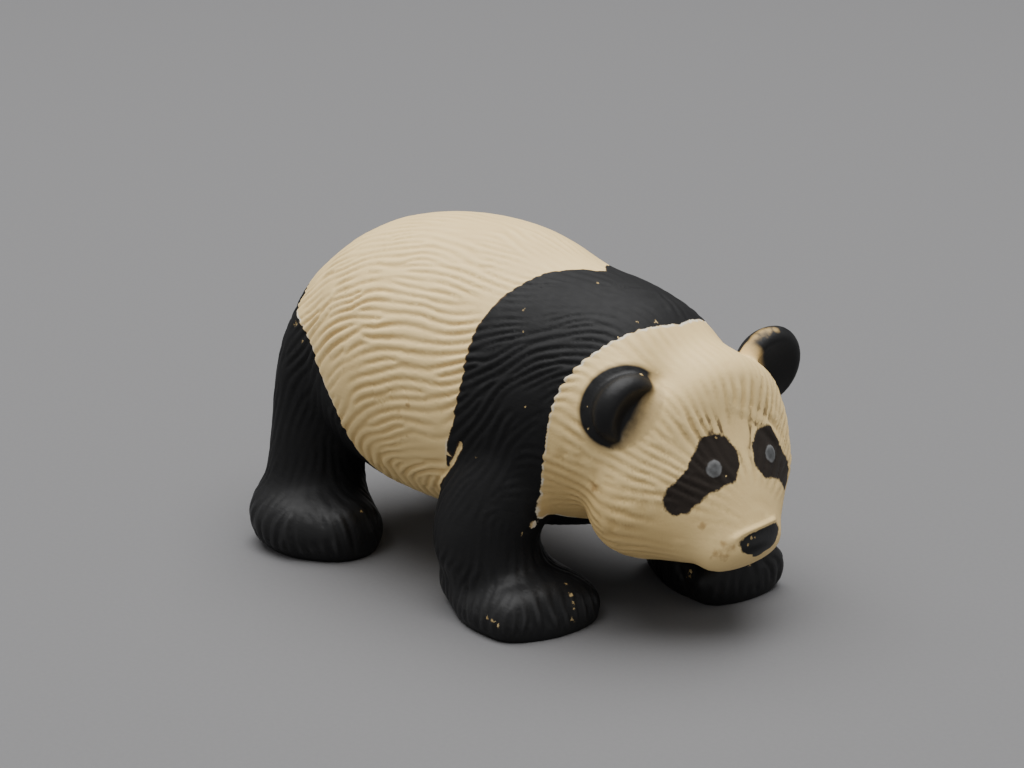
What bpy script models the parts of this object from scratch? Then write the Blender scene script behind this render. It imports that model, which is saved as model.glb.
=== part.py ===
"""Panda figurine: a small solid plastic animal, moulded in one piece, walking with its head low.

The model is in metres, with +X towards the nose, +Y to the animal's own left and +Z up. It stands
on its four flat soles at z = 0, and the origin is the middle of its footprint. The free forms are
in parts, hundredths of the figure's length, so LENGTH scales the whole animal.
"""

import bpy
import numpy as np
from mathutils import Euler

# Driving dimensions, in metres
LENGTH = 0.070  # rump to nose
FUR_PITCH = 0.0020  # from one lock of fur to the next
FUR_DEPTH = 0.00042  # from a lock's crest to the bottom of its groove
EYE_RADIUS = 0.0012  # each eye is a low round bump
EYE_HEIGHT = 0.0003
NOSE_RIM = 0.0004  # how far the rim over the nose stands out
BODY_VOXEL = 0.0006  # fineness of the trunk and legs before they are smoothed
BODY_ROUNDS = 20  # rounds of smoothing where trunk and legs meet
CARVING_VOXEL = 0.0004  # fineness of the whole figure before it is carved
HEAD_ROUNDS = 5  # rounds of smoothing where head, ears and tail meet the trunk
NECK_ROUNDS = 60  # more rounds in the hollow of the neck alone
TRIANGLES = 9600

PART = LENGTH / 100

CREAM = (0.66, 0.56, 0.40, 1.0)
BLACK = (0.018, 0.018, 0.019, 1.0)

# Rows of a form, in parts: place along its axis, lowest, highest and half width
TRUNK = [
    (-50, 31, 31, 0),
    (-48.5, 21, 44, 11.5),
    (-43, 16, 50, 17.5),
    (-33, 12, 56.5, 22.5),
    (-20, 9.5, 60, 25.5),
    (-5, 8.5, 60.5, 24.5),
    (8, 10, 57, 23),
    (18, 12.5, 56, 21.5),
    (26, 15.5, 54, 19.5),
    (33, 18, 49.5, 16.5),
    (39, 30, 30, 0),
]
HEAD = [
    (-16, 1, 1, 0),
    (-14, -9.5, 11.5, 9.5),
    (-8, -14.5, 16, 14.8),
    (0, -18.3, 18.5, 20.7),
    (7, -18, 10.5, 20.6),
    (12, -15, 6, 15.3),
    (16.5, -12, 1.5, 10.5),
    (20, -10.5, -2, 7.5),
    (22, -4, -4, 0),
]
CHEEKS = -0.18  # the head is this much wider below its middle than above it
HEAD_AT = (33, 3.5, 29.5)
HEAD_TURN = (-3.5, 26, -6.5)  # roll, nod and turn, in degrees

# Rows of a leg, in parts: height, rear, front, middle and half width on the animal's left
HIND_LEG = [
    (0, -38, -38, 18, 0),
    (7, -46.5, -28.5, 18, 10),
    (13, -46.5, -31, 16, 9.5),
    (22, -46.5, -31, 14.5, 9.5),
    (33, -45.5, -30.5, 13.5, 9.5),
    (42, -43, -30.5, 12, 8),
    (50, -36, -36, 12, 0),
]
RIGHT_FORELEG = [
    (0, 8, 8, 19, 0),
    (7, 0, 18, 18.5, 9),
    (13, -2, 17.5, 19.5, 8.5),
    (22, -1.5, 19.5, 16.5, 9),
    (33, 2.5, 21.5, 12, 8.5),
    (42, 3, 22, 10.5, 8),
    (50, 12.5, 12.5, 10.5, 0),
]
LEFT_FORELEG = [
    (0, 22, 22, 17, 0),
    (7, 14.5, 29, 17, 9),
    (13, 14, 28, 17, 8.5),
    (22, 9, 26, 16, 9.5),
    (33, 4, 23, 14, 9.5),
    (42, 0.5, 21, 12, 8.5),
    (50, 11, 11, 12, 0),
]
# Rows of a paw, in parts: place from heel to toes, lowest, highest and half width
HIND_PAW = [
    (-10, 4, 4, 0),
    (-9, 0, 11.5, 7),
    (-4, -2, 11.5, 11),
    (3, -3, 11.5, 11.5),
    (9, -3, 10, 8.5),
    (13, -1, 8.5, 5.5),
    (14.5, 2, 2, 0),
]
RIGHT_FOREPAW = [
    (-10.5, 4, 4, 0),
    (-9.5, -1, 10, 8.5),
    (-4, -3, 9.5, 10.5),
    (3, -4, 8.5, 12),
    (9, -4, 9, 11.5),
    (14, -3, 7.5, 9.5),
    (16.5, 1.5, 1.5, 0),
]
LEFT_FOREPAW = [
    (-10, 4, 4, 0),
    (-9, 0, 11, 5),
    (-4, -2, 11.5, 8),
    (3, -3, 11, 10),
    (9, -3, 10, 9.5),
    (14, -1.5, 9.5, 9.5),
    (15.8, 2.5, 2.5, 0),
]
HIND_STEP = 9  # how far the left hind leg is ahead of the right one, in parts

# Rows of an ear from its back to its hollow front: place, share of its full size and how far the
# ring lies inwards and down
EAR = [(-3.2, 0, 0), (-2.7, 0.65, 0), (0, 1, 0), (2, 0.97, 0), (3, 0.82, 0.3), (2.1, 0.6, 1.3),
       (0.9, 0, 2.4)]
# The right and the left ear: place on the head, half width and half height
EARS = {-1: ((-3.8, 16.6, 8.9), (6.5, 5.9)), 1: ((-4.8, 17.1, 10.4), (6.9, 6.8))}
EAR_TURN = (0, -19, -1)
EAR_REACH = 5  # half the thickness that counts as ear and carries no fur

EYE_AT = (10.6, 6.7, 5.4)  # along the head, out from its middle and up
FACE_SHIFT = 0.4  # the eyes sit this far to the left of the head's middle
NOSE_AT = (20.5, 1.2, -3.5)
NOSE_HALF = (5.4, 1.9)

# A short stub of a tail, pressed against the rump
TAIL = [
    (-4, 0, 0, 0, 0),
    (-3.5, -2.5, 2.5, 0, 2.5),
    (0, -4, 4, 0, 4),
    (3.5, -2.5, 2.5, 0, 2.5),
    (4, 0, 0, 0, 0),
]
TAIL_AT = (-46, 0, 37)
SOLE_SNAP = 0.0001  # what is this close to the ground is on it

# Borders of the black paint, in parts: height, then place on the right flank and on the left one
BAND_REAR = [(10, -3, 12), (18, -1, 9), (24, 1, 6), (31, 4, 5), (45, 4.5, 4.5), (53, 7, 7), (58, 14, 14)]
BAND_FRONT = [(9.5, 45, 45), (12.5, 20, 30), (22, 19, 26), (30, 21.5, 23), (42, 23, 23), (48, 27, 27),
              (52, 32, 32)]
# Top of the black on the right hind leg: place, height
HIND_TOP = [(-50, 46), (-41, 43), (-31.5, 38), (-27, 33), (-24, 28), (-22.5, 20), (-21, 10)]
RUMP = 7  # half width of the cream left between the hind legs
# Each eye patch runs from its inner upper end to its outer lower one: out, up and half width
PATCH = [(6.2, 5.9, 4), (12.8, 0.3, 2.5)]


def blend(low, high, value):
    """Smooth step from 0 at low to 1 at high."""
    t = np.clip((value - low) / (high - low), 0, 1)
    return t * t * (3 - 2 * t)


def turned(points, turn, at=(0, 0, 0)):
    """Points turned by roll, nod and turn in degrees, then moved."""
    matrix = np.array(Euler(np.radians(turn)).to_matrix())
    return points @ matrix.T + np.array(at)


def unturned(points, turn, at):
    """The inverse of turned."""
    matrix = np.array(Euler(np.radians(turn)).to_matrix())
    return (points - np.array(at)) @ matrix


def curve_through(rows, count):
    """A smooth curve through rows of (place, middle, half height, side, half width).

    The end rows have no size. Beyond each the next row is repeated with its halves turned over,
    so that the form closes round and not to a tip.
    """
    rows = np.array(rows, float)
    overturned = np.array([1, 1, -1, 1, -1])
    keys = np.vstack([rows[1] * overturned, rows, rows[-2] * overturned])
    place = np.linspace(0, len(rows) - 1, count)
    index = np.minimum(place.astype(int), len(rows) - 2)
    t = (place - index)[:, None]
    a, b, c, d = (keys[index + step] for step in range(4))
    return (2 * b + (c - a) * t + (2 * a - 5 * b + 4 * c - d) * t**2
            + (3 * b - a - 3 * c + d) * t**3) / 2


def loft(rows, stations=60, around=64, pear=0.0):
    """A closed form along x from rows of (place, lowest, highest, side, half width).

    Each section is an ellipse whose width grows or shrinks with height by the share pear.
    """
    keys = [(s, (low + high) / 2, (high - low) / 2, side, half) for s, low, high, side, half in rows]
    curve = curve_through(keys, stations)
    angle = np.arange(around) * 2 * np.pi / around
    across = np.cos(angle) * (1 + pear * np.sin(angle))
    x = np.repeat(curve[:, :1], around, axis=1)
    y = curve[:, 3:4] + curve[:, 4:5] * across
    z = curve[:, 1:2] + curve[:, 2:3] * np.sin(angle)
    grid = np.stack([x, y, z], axis=-1)
    rings = grid[1:-1].reshape(-1, 3)
    points = np.vstack([grid[0, :1], rings, grid[-1, :1]])
    faces = []
    last = len(points) - 1
    for k in range(around):
        j = (k + 1) % around
        faces.append((0, 1 + k, 1 + j))
        faces.append((last, last - around + j, last - around + k))
        for ring in range(stations - 3):
            row = 1 + ring * around
            faces.append((row + k, row + around + k, row + around + j, row + j))
    return points, faces


def upright(rows, mirror=1):
    """A leg from rows of (height, rear, front, side, half width), on the left or mirrored."""
    points, faces = loft([(s, low, high, side * mirror, half) for s, low, high, side, half in rows])
    return points[:, [2, 1, 0]], faces


def shifted(rows, step):
    """A leg's rows moved forward."""
    return [(s, low + step, high + step, side, half) for s, low, high, side, half in rows]


def paw(rows, at, turn):
    points, faces = loft([(s, low, high, 0, half) for s, low, high, half in rows])
    return turned(points, (0, 0, turn), (*at, 0)), faces


def ear(side):
    at, (width, height) = EARS[side]
    rows = [(s, -height * share - low, height * share - low, -side * low, width * share)
            for s, share, low in EAR]
    points, faces = loft(rows)
    roll, nod, turn = EAR_TURN
    points = turned(points, (roll, nod, turn * side), (at[0], at[1] * side, at[2]))
    return turned(points, HEAD_TURN, HEAD_AT), faces


PAWS = [  # rows, place of the ankle and how far the toes turn to the left
    (HIND_PAW, (-35.5, -20), 0),
    (HIND_PAW, (-35.5 + HIND_STEP, 20), 0),
    (RIGHT_FOREPAW, (11, -17), -14),
    (LEFT_FOREPAW, (25, 15.5), -10.5),
]


def mesh_object(name, forms):
    """One object that holds several overlapping closed forms."""
    points = []
    faces = []
    for form_points, form_faces in forms:
        shift = len(points)
        points.extend(form_points * PART)
        faces.extend([tuple(corner + shift for corner in face) for face in form_faces])
    mesh = bpy.data.meshes.new(name)
    mesh.from_pydata(points, [], faces)
    obj = bpy.data.objects.new(name, mesh)
    bpy.context.scene.collection.objects.link(obj)
    return obj


def settle(obj):
    """Applies an object's modifiers."""
    graph = bpy.context.evaluated_depsgraph_get()
    mesh = bpy.data.meshes.new_from_object(obj.evaluated_get(graph))
    obj.modifiers.clear()
    old = obj.data
    obj.data = mesh
    bpy.data.meshes.remove(old)


def fuse(obj, voxel, rounds):
    """Runs the overlapping forms of an object into one skin, then softens it."""
    remesh = obj.modifiers.new("one skin", "REMESH")
    remesh.mode = "VOXEL"
    remesh.voxel_size = voxel
    smooth = obj.modifiers.new("soft hollows", "SMOOTH")
    smooth.factor = 0.5
    smooth.iterations = rounds
    settle(obj)


def read(obj):
    """Points in parts, outward directions and triangles of an object's mesh."""
    mesh = obj.data
    count = len(mesh.vertices)
    points = np.empty(count * 3)
    mesh.vertices.foreach_get("co", points)
    normals = np.empty(count * 3)
    mesh.vertex_normals.foreach_get("vector", normals)
    mesh.calc_loop_triangles()
    triangles = np.empty(len(mesh.loop_triangles) * 3, int)
    mesh.loop_triangles.foreach_get("vertices", triangles)
    return points.reshape(-1, 3) / PART, normals.reshape(-1, 3), triangles.reshape(-1, 3)


def write(obj, points):
    obj.data.vertices.foreach_set("co", (points * PART).ravel())
    obj.data.update()


def lie_of_fur(points, normals):
    """The way the fur is combed, along the skin at each point.

    On the trunk it runs backwards and falls towards the legs, on the legs it runs down, on a paw
    it spreads from the ankle, and on the head it spreads from the nose.
    """
    x, y, z = points.T
    height = blend(10, 56, z)
    rear = blend(0, 45, -x)
    band = blend(0, 8, x) * blend(30, 22, x)
    fall = (1 - height) * (0.35 + 1.3 * rear + 2.5 * band) + 0.25 * band
    spread = y / 25 * height * (0.2 + 0.5 * band)
    comb = np.stack([-np.ones_like(x), spread, -fall], axis=-1)

    on_leg = blend(24, 15, z)[:, None]
    comb = comb * (1 - on_leg) + np.array([-0.15, 0, -1.5]) * on_leg
    for _, (at_x, at_y), _ in PAWS:
        away = np.stack([x - at_x, y - at_y, z - 15], axis=-1)
        near = blend(17, 12, np.hypot(away[:, 0], away[:, 1])) * blend(15, 10, z)
        comb = comb * (1 - near[:, None]) + away / 8 * near[:, None]

    ahead, across, up = unturned(points, HEAD_TURN, HEAD_AT).T
    back = HEAD[-1][0] + 1 - ahead
    rise = (up - 2) * 1.2 * back / 23
    face = np.stack([-back, across, rise], axis=-1)
    on_head = (blend(-13, -9, ahead) * blend(-19, -16, up))[:, None]
    comb = comb * (1 - on_head) + turned(face, HEAD_TURN) / 15 * on_head

    comb -= normals * np.sum(comb * normals, axis=1)[:, None]
    return comb / np.maximum(np.linalg.norm(comb, axis=1), 1e-9)[:, None]


def evening(points, triangles, along=None):
    """A function that gives how fast a value on the skin evens itself out with its neighbours.

    Each point compares itself with the mean of its neighbours, in every direction or mostly with
    those that lie along a given one, over the square of how far away they are.
    """
    first = triangles.ravel()
    second = np.roll(triangles, -1, axis=1).ravel()
    way = points[second] - points[first]
    reach = np.sum(way**2, axis=1)
    weight = np.ones(len(first))
    directions = 4
    if along is not None:
        weight = np.sum(way * along[first], axis=1) ** 4 / reach**2
        directions = 2
    count = len(points)
    total = np.bincount(first, weight, count)
    spacing = np.bincount(first, weight * reach, count) / total
    spacing = np.maximum(spacing, spacing.mean() * 0.6) / directions

    def rate(value):
        return (np.bincount(first, weight * value[second], count) / total - value) / spacing

    return rate


def locks(points, normals, triangles, pitch, rounds=240, step=0.05):
    """Locks of fur: crests near 1 and grooves near -1, pitch parts apart, along the fur's lie.

    They grow from seeded noise. In each round a swing of the right pitch grows, others fade, and
    each lock evens out along its own length, which leaves long wavy crests that fork and end.
    """
    every_way = evening(points, triangles)
    lengthwise = evening(points, triangles, lie_of_fur(points, normals))
    scale = (pitch / (2 * np.pi)) ** 2
    value = np.random.default_rng(7).normal(0, 0.3, len(points))
    for _ in range(rounds):
        swing = value + scale * every_way(value)
        swing += scale * every_way(swing)
        value += step * (0.9 * value - swing - value**3 + 1.6 * scale * lengthwise(value))
    return value


def ear_reach(points, side):
    """How far each point is from an ear's middle, where 1 is about the ear's edge."""
    roll, nod, turn = EAR_TURN
    (ahead, out, up), half = EARS[side]
    on_head = unturned(points, HEAD_TURN, HEAD_AT)
    local = unturned(on_head, (roll, nod, turn * side), (ahead, out * side, up))
    return np.linalg.norm(local / (EAR_REACH, *half), axis=1)


def neck_share(points):
    """Where the head meets the neck: 1 in the hollow between them, 0 away from it and at the ears."""
    ahead, _, up = unturned(points, HEAD_TURN, HEAD_AT).T
    share = blend(-16, -11, ahead) * blend(5, -1, ahead) * blend(-12, -3, up)
    for side in (-1, 1):
        share = share * blend(1.15, 1.6, ear_reach(points, side))
    return share


def ease_neck(obj, rounds):
    """Draws points in the hollow of the neck to the mean of their neighbours, which fills it softly."""
    points, _, triangles = read(obj)
    share = neck_share(points)[:, None]
    first = triangles.ravel()
    second = np.roll(triangles, -1, axis=1).ravel()
    total = np.bincount(first)
    for _ in range(rounds):
        mean = [np.bincount(first, values[second]) / total for values in points.T]
        points += share * (np.stack(mean, axis=-1) - points)
    write(obj, points)


def fur_depth(points):
    """How deep the fur is carved at each point, as a share of its full depth."""
    ahead, _, up = unturned(points, HEAD_TURN, HEAD_AT).T
    on_head = blend(-13, -9, ahead) * blend(-19, -16, up)
    depth = 1 - on_head * (0.35 + 0.65 * blend(15, 21, ahead))
    for side in (-1, 1):
        depth *= blend(1, 1.3, ear_reach(points, side))
    return depth * blend(0.5, 2.5, points[:, 2])


def eye_gap(points, side):
    """Distance of each point from the middle of an eye, in parts."""
    ahead, out, up = EYE_AT
    eye = np.array([ahead, FACE_SHIFT + out * side, up])
    return np.linalg.norm(unturned(points, HEAD_TURN, HEAD_AT) - eye, axis=1)


def face_relief(points):
    """Height of the eyes and of the nose with its rim at each point, in parts."""
    ahead, across, up = unturned(points, HEAD_TURN, HEAD_AT).T
    eyes = 0
    for side in (-1, 1):
        away = eye_gap(points, side) * PART / EYE_RADIUS
        eyes = eyes + np.sqrt(np.clip(1 - away**2, 0, 1))
    reach = np.hypot((across - NOSE_AT[1]) / NOSE_HALF[0], (up - NOSE_AT[2]) / NOSE_HALF[1])
    above = blend(-1, 1, up - NOSE_AT[2]) * blend(16, 19, ahead)
    rim = np.exp(-((reach - 1.16) / 0.14) ** 2) * above
    return eyes * EYE_HEIGHT / PART + rim * NOSE_RIM / PART


def black(points):
    """How far inside the black paint each point is, in parts, and negative outside it."""
    x, y, z = points.T
    left = blend(-6, 6, y)

    def border(rows):
        height, right_side, left_side = np.array(rows, float).T
        return np.interp(z, height, right_side) * (1 - left) + np.interp(z, height, left_side) * left

    band = np.minimum(x - border(BAND_REAR), border(BAND_FRONT) - x)
    place, height = np.array(HIND_TOP, float).T
    behind = x - HIND_STEP * left * blend(46, 20, z)
    hind = np.minimum(np.interp(behind, place, height) - z, -21 - behind)
    hind = np.minimum(hind, abs(y) - RUMP)
    ahead, across, up = unturned(points, HEAD_TURN, HEAD_AT).T
    on_head = (ahead > -11) & (up > -18)
    body = np.where(on_head, -1, np.maximum(band, hind))

    (inner_out, inner_up, inner_half), (outer_out, outer_up, outer_half) = PATCH
    out = abs(across - FACE_SHIFT) - inner_out
    rise = up - inner_up
    way = np.array([outer_out - inner_out, outer_up - inner_up])
    share = np.clip((out * way[0] + rise * way[1]) / np.sum(way**2), 0, 1)
    gap = np.hypot(out - way[0] * share, rise - way[1] * share)
    patch = inner_half + (outer_half - inner_half) * share - gap
    nose = 1 - np.hypot((across - NOSE_AT[1]) / NOSE_HALF[0], (up - NOSE_AT[2]) / NOSE_HALF[1])
    face = np.maximum(np.where(ahead > 4, patch, -1), np.where(ahead > 17, nose, -1))
    ears = 1.05 - np.minimum(ear_reach(points, -1), ear_reach(points, 1))
    return np.maximum(np.maximum(body, face), ears)


def flatten(obj):
    """Presses what is under z = 0 flat, which makes the soles."""
    points, _, _ = read(obj)
    points[:, 2] = np.maximum(points[:, 2], 0)
    write(obj, points)


def trunk_and_legs():
    """The trunk on its four legs and paws, with soft hollows where they meet."""
    forms = [loft([(s, low, high, 0, half) for s, low, high, half in TRUNK])]
    forms.append(upright(HIND_LEG, -1))
    forms.append(upright(shifted(HIND_LEG, HIND_STEP)))
    forms.append(upright(RIGHT_FORELEG, -1))
    forms.append(upright(LEFT_FORELEG))
    for rows, at, turn in PAWS:
        forms.append(paw(rows, at, turn))
    body = mesh_object("panda_figurine", forms)
    fuse(body, BODY_VOXEL, BODY_ROUNDS)
    return body


def figurine():
    """The whole animal as one fine skin, before it is carved."""
    body = trunk_and_legs()
    points, _, triangles = read(body)
    bpy.data.objects.remove(body)
    skull, skull_faces = loft([(s, low, high, 0, half) for s, low, high, half in HEAD], pear=CHEEKS)
    forms = [(points, triangles), (turned(skull, HEAD_TURN, HEAD_AT), skull_faces)]
    forms += [ear(-1), ear(1)]
    tail, tail_faces = loft(TAIL)
    forms.append((turned(tail, (0, 0, 0), TAIL_AT), tail_faces))
    obj = mesh_object("panda_figurine", forms)
    fuse(obj, CARVING_VOXEL, HEAD_ROUNDS)
    ease_neck(obj, NECK_ROUNDS)
    return obj


def carve(obj):
    """Cuts the fur and the face into the skin."""
    points, normals, triangles = read(obj)
    fur = np.tanh(1.5 * locks(points, normals, triangles, FUR_PITCH / PART))
    height = (fur - 1) / 2 * FUR_DEPTH / PART * fur_depth(points) + face_relief(points)
    write(obj, points + normals * height[:, None])


def thin(obj):
    """Brings the skin down to fewer triangles, which stay narrow along the locks."""
    count = len(obj.data.loop_triangles)
    decimate = obj.modifiers.new("fewer triangles", "DECIMATE")
    decimate.ratio = TRIANGLES / count
    decimate.use_collapse_triangulate = True
    settle(obj)


def stand(obj):
    """Flattens the soles at z = 0 and puts the origin in the middle of the footprint."""
    points, _, _ = read(obj)
    points[:, 2] = np.where(points[:, 2] < SOLE_SNAP / PART, 0, points[:, 2])
    middle = (points.min(axis=0) + points.max(axis=0)) / 2
    write(obj, points - np.array([middle[0], middle[1], 0]))


def plastic(name, rgba, roughness):
    colour = bpy.data.materials.new(name)
    colour.use_nodes = True
    shader = colour.node_tree.nodes["Principled BSDF"]
    shader.inputs["Base Color"].default_value = rgba
    shader.inputs["Roughness"].default_value = roughness
    shader.inputs["Metallic"].default_value = 0.0
    return colour


def paint(obj):
    """Cream plastic, with black paint on the faces that lie inside its borders."""
    obj.data.materials.append(plastic("cream plastic", CREAM, 0.5))
    obj.data.materials.append(plastic("black paint", BLACK, 0.35))
    points, _, _ = read(obj)
    corners = np.array([tuple(face.vertices) for face in obj.data.polygons])
    painted = black(points[corners].mean(axis=1)) > 0
    obj.data.polygons.foreach_set("material_index", painted.astype(np.int32))
    obj.data.update()


def build():
    for old in list(bpy.data.objects):
        bpy.data.objects.remove(old)
    obj = figurine()
    carve(obj)
    flatten(obj)
    thin(obj)
    paint(obj)
    stand(obj)
    collection = bpy.data.collections.new("panda figurine")
    bpy.context.scene.collection.children.link(collection)
    bpy.context.scene.collection.objects.unlink(obj)
    collection.objects.link(obj)


build()
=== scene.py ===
"""Panda figurine, dressed: one fine skin with carved fur, brushed paint, chips and wear, with painted
shade, sheen and a highlight.

Lengths are in metres. Free forms are in parts, hundredths of the figure's length, with +X towards
the nose, +Y to the animal's own left and +Z up, before the footprint is centred on the origin.
"""

import math

import bpy
import numpy as np
from bpy.props import FloatProperty, FloatVectorProperty, IntProperty, PointerProperty
from mathutils import Euler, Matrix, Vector
from mathutils.kdtree import KDTree


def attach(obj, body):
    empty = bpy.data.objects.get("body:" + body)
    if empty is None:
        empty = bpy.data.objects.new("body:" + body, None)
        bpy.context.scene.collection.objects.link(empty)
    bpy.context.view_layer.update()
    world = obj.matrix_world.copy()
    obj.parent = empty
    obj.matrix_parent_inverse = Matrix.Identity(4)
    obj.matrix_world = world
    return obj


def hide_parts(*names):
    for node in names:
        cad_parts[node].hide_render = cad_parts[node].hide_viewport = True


bl_info = {
    "name": "Panda figurine",
    "version": (1, 0, 0),
    "blender": (4, 5, 0),
    "location": "View3D > Sidebar > Panda",
    "description": "Small plastic panda with carved fur, brushed paint and worn spots",
    "category": "Add Mesh",
}

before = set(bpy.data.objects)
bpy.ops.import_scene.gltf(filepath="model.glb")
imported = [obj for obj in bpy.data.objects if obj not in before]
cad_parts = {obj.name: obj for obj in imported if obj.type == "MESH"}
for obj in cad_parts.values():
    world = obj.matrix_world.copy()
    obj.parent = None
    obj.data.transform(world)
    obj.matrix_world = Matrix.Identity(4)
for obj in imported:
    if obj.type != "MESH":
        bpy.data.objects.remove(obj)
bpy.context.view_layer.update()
NODE = "panda_figurine"
LENGTH = 0.070  # rump to nose without the stub of the tail
PART = LENGTH / 100


# Rows of a form, in parts: place along its axis, lowest, highest and half width
TRUNK = [
    (-50, 31, 31, 0),
    (-48.5, 21, 44, 11.5),
    (-43, 16, 50, 17.5),
    (-33, 12, 56.5, 22.5),
    (-20, 9.5, 60, 25.5),
    (-5, 8.5, 60.5, 24.5),
    (8, 10, 57, 23),
    (18, 12.5, 56, 21.5),
    (26, 15.5, 54, 19.5),
    (33, 18, 49.5, 16.5),
    (39, 30, 30, 0),
]
HEAD = [
    (-16, 1, 1, 0),
    (-14, -9.5, 11.5, 9.5),
    (-8, -14.5, 16, 14.8),
    (0, -18.3, 18.5, 20.7),
    (7, -18, 10.5, 20.6),
    (12, -15, 6, 15.3),
    (16.5, -12, 1.5, 10.5),
    (20, -10.5, -2, 7.5),
    (22, -4, -4, 0),
]
CHEEKS = -0.18  # the head is this much wider below its middle than above it
HEAD_AT = (33, 3.5, 29.5)
HEAD_TURN = (-3.5, 26, -6.5)  # roll, nod and turn, in degrees

# Rows of a leg, in parts: height, rear, front, middle and half width on the animal's left
HIND_LEG = [
    (0, -38, -38, 18, 0),
    (7, -46.5, -28.5, 18, 10),
    (13, -46.5, -31, 16, 9.5),
    (22, -46.5, -31, 14.5, 9.5),
    (33, -45.5, -30.5, 13.5, 9.5),
    (42, -43, -30.5, 12, 8),
    (50, -36, -36, 12, 0),
]
RIGHT_FORELEG = [
    (0, 8, 8, 19, 0),
    (7, 0, 18, 18.5, 9),
    (13, -2, 17.5, 19.5, 8.5),
    (22, -1.5, 19.5, 16.5, 9),
    (33, 2.5, 21.5, 12, 8.5),
    (42, 3, 22, 10.5, 8),
    (50, 12.5, 12.5, 10.5, 0),
]
LEFT_FORELEG = [
    (0, 22, 22, 17, 0),
    (7, 14.5, 29, 17, 9),
    (13, 14, 28, 17, 8.5),
    (22, 9, 26, 16, 9.5),
    (33, 4, 23, 14, 9.5),
    (42, 0.5, 21, 12, 8.5),
    (50, 11, 11, 12, 0),
]
# Rows of a paw, in parts: place from heel to toes, lowest, highest and half width
HIND_PAW = [
    (-10, 4, 4, 0),
    (-9, 0, 11.5, 7),
    (-4, -2, 11.5, 11),
    (3, -3, 11.5, 11.5),
    (9, -3, 10, 8.5),
    (13, -1, 8.5, 5.5),
    (14.5, 2, 2, 0),
]
RIGHT_FOREPAW = [
    (-10.5, 4, 4, 0),
    (-9.5, -1, 10, 8.5),
    (-4, -3, 9.5, 10.5),
    (3, -4, 8.5, 12),
    (9, -4, 9, 11.5),
    (14, -3, 7.5, 9.5),
    (16.5, 1.5, 1.5, 0),
]
LEFT_FOREPAW = [
    (-10, 4, 4, 0),
    (-9, 0, 11, 5),
    (-4, -2, 11.5, 8),
    (3, -3, 11, 10),
    (9, -3, 10, 9.5),
    (14, -1.5, 9.5, 9.5),
    (15.8, 2.5, 2.5, 0),
]
HIND_STEP = 9  # how far the left hind leg is ahead of the right one, in parts

# Rows of an ear from its back to its hollow front: place, share of its full size and how far the
# ring lies inwards and down
EAR = [(-3.2, 0, 0), (-2.7, 0.65, 0), (0, 1, 0), (2, 0.97, 0), (3, 0.82, 0.3), (2.1, 0.6, 1.3),
       (0.9, 0, 2.4)]
# The right and the left ear: place on the head, half width and half height
EARS = {-1: ((-3.8, 16.6, 8.9), (6.5, 5.9)), 1: ((-4.8, 17.1, 10.4), (6.9, 6.8))}
EAR_TURN = (0, -19, -1)
EAR_REACH = 5  # half the thickness that counts as ear and carries no fur

EYE_AT = (10.6, 6.7, 5.4)  # along the head, out from its middle and up
NOSE_AT = (20.5, 1.2, -3.5)
NOSE_HALF = (5.4, 1.8)
NOSE_TIP = (0.4, -4.9, 1.5)  # the lobe under the nose: across, up and half width

# A short stub of a tail, pressed against the rump
TAIL = [
    (-4, 0, 0, 0, 0),
    (-3.5, -2.5, 2.5, 0, 2.5),
    (0, -4, 4, 0, 4),
    (3.5, -2.5, 2.5, 0, 2.5),
    (4, 0, 0, 0, 0),
]
TAIL_AT = (-46, 0, 37)
# Borders of the shoulder band: degrees round the trunk from the spine, then how far along it
BAND_AXIS = 34  # height of the middle that the degrees turn about
SPINE_LEAN = 8  # the band's foremost point lies this many degrees to the left of the spine
BAND_REAR = [(0, 14.5), (8, 11.5), (20, 8.5), (40, 6), (60, 4.5), (82, 5), (95, 4.3), (107, 3.6),
             (108.5, 5.5), (111, 5.6), (117, 4), (121, 2.6), (127, 0.3), (133, -2), (150, -3),
             (180, -2)]
BAND_FRONT = [(0, 31.5), (18, 30.5), (33, 29), (48, 27), (60, 25), (70, 23.7), (78, 23), (88, 22.7),
              (103, 21.9), (120, 20.5), (132, 19), (140, 18), (150, 19.5), (160, 25), (180, 27)]
TOOTH = 0.22  # how far crests of cream bite into the band's front border
LEFT_STEP = 8  # how far the band runs ahead on the left, at the foot of its leg
# Top of the black on the right hind leg: place, height
HIND_TOP = [(-52, 46), (-41, 43), (-31.5, 38), (-27, 33), (-24, 28.5), (-22.5, 20), (-21, 10)]
HIND_FRONT = -21.5
RUMP = 6.5  # half width of the cream left between the hind legs
ROUNDING = 0.9  # softness of the corner between those borders
PAW_TOP = 12.5  # below this height a foreleg is black all round
# The tongue of paint that ran down behind the right foreleg: its upper and lower end
TONGUE = ((4.4, -22.9, 31.5), (1.5, -22.4, 24.4))
TONGUE_HALF = 1.15
# Each eye patch runs from its inner upper end to its outer lower one, places on the head
PATCH = ((10.2, 6.2, 5.9), (11.2, 12.8, 0.3))
PATCH_HALF = (4.7, 2.8)  # half width at each end
PATCH_WAIST = 0.6  # how much narrower it is between them
FACE_SHIFT = 0.4  # the eyes sit this far to the left of the head's middle
PATCH_LIFT = 0.5  # the right patch sits this much higher than that, the left one as much lower
EYE_DOT = 1.55  # radius of the grey dot
EAR_FADE = {-1: 0.7, 1: 1.3}  # how far the black of the right and the left ear comes inwards in front
BROW = 6  # how far the painted hairs reach from the patches

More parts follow.
